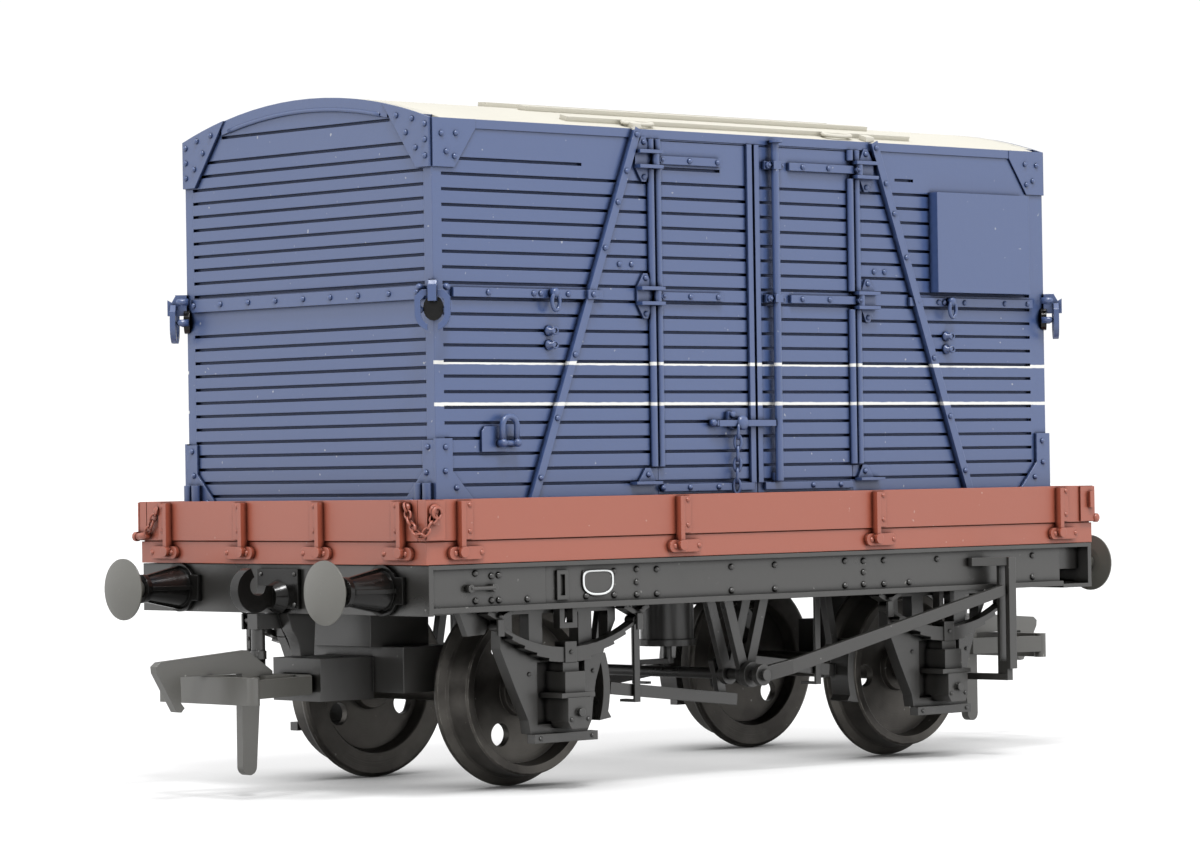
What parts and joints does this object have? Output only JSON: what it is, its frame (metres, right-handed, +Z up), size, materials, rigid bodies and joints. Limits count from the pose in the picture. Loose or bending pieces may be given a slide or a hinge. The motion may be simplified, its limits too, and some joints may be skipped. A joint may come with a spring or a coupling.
{
  "type": "model railway container wagon",
  "caption": "Small-scale four-wheel flat wagon with one-plank low sides carrying a boarded box container with double side doors, white stripes and a curved roof.",
  "frame": {"origin": "bottom centre of the bounding box, on the plane that the wheel flanges touch, midway between the axles and midway between the rails", "axes": "+X along the wagon, +Z up, the side with the front end to its left is -Y"},
  "size_m": [0.0928, 0.036, 0.0502],
  "materials": {
    "container_blue": "moulded plastic, satin navy blue paint",
    "roof_white": "moulded plastic, matt off-white paint",
    "body_red_brown": "moulded plastic, matt red-brown paint",
    "underframe_black": "satin black moulded plastic",
    "gloss_black": "gloss black moulded plastic",
    "wheel_steel": "blackened turned metal, treads rubbed bright",
    "buffer_metal": "turned metal, blackened brown-grey",
    "coupling_plastic": "dark grey moulded plastic"
  },
  "bodies": {
    "wagon": {"container_floor": "container_blue", "container_left_side": "container_blue", "container_right_side": "container_blue", "container_front_end": "container_blue", "container_rear_end": "container_blue", "container_roof": "roof_white", "left_side_doors": "container_blue", "right_side_doors": "container_blue", "side_straps": "container_blue", "door_hinges": "container_blue", "door_bars": "container_blue", "end_irons": "container_blue", "label_boards": "container_blue", "lifting_rings": "container_blue", "roof_fittings": "roof_white", "wagon_floor": "body_red_brown", "curb_rails": "body_red_brown", "left_side_plank": "body_red_brown", "right_side_plank": "body_red_brown", "front_end_plank": "body_red_brown", "rear_end_plank": "body_red_brown", "side_hinge_straps": "body_red_brown", "end_hinge_straps": "body_red_brown", "corner_plates": "body_red_brown", "chassis_plate": "underframe_black", "front_headstock": "underframe_black", "rear_headstock": "underframe_black", "left_solebar": "underframe_black", "right_solebar": "underframe_black", "solebar_fittings": "underframe_black", "axle_guards": "underframe_black", "leaf_springs": "underframe_black", "spring_hangers": "underframe_black", "axleboxes": "underframe_black", "buffer_housings": "gloss_black", "buffer_heads": "buffer_metal", "drawhooks": "gloss_black", "vacuum_pipes": "underframe_black", "v_hangers": "underframe_black", "brake_shaft": "underframe_black", "brake_shoes": "underframe_black", "push_rods": "underframe_black", "brake_levers": "underframe_black", "lever_guards": "underframe_black", "vacuum_cylinder": "underframe_black", "coupling_mounts": "underframe_black", "front_coupling_bar": "coupling_plastic", "rear_coupling_bar": "coupling_plastic"},
    "front_wheelset": {"front_wheels": "wheel_steel", "front_axle": "wheel_steel"},
    "rear_wheelset": {"rear_wheels": "wheel_steel", "rear_axle": "wheel_steel"},
    "front_hook": {"front_coupling_hook": "coupling_plastic"},
    "rear_hook": {"rear_coupling_hook": "coupling_plastic"}
  },
  "joints": [
    {"name": "front_axle_spin", "type": "hinge", "parent": "wagon", "child": "front_wheelset", "pos_m": [-0.02, 0, 0.00696], "axis": [0, 1, 0], "continuous": true},
    {"name": "rear_axle_spin", "type": "hinge", "parent": "wagon", "child": "rear_wheelset", "pos_m": [0.02, 0, 0.00696], "axis": [0, 1, 0], "continuous": true},
    {"name": "front_hook_lift", "type": "hinge", "parent": "wagon", "child": "front_hook", "pos_m": [-0.03667, 0, 0.008], "axis": [0, 1, 0], "range_deg": [0, 20]},
    {"name": "rear_hook_lift", "type": "hinge", "parent": "wagon", "child": "rear_hook", "pos_m": [0.03667, 0, 0.008], "axis": [0, -1, 0], "range_deg": [0, 20]}
  ]
}
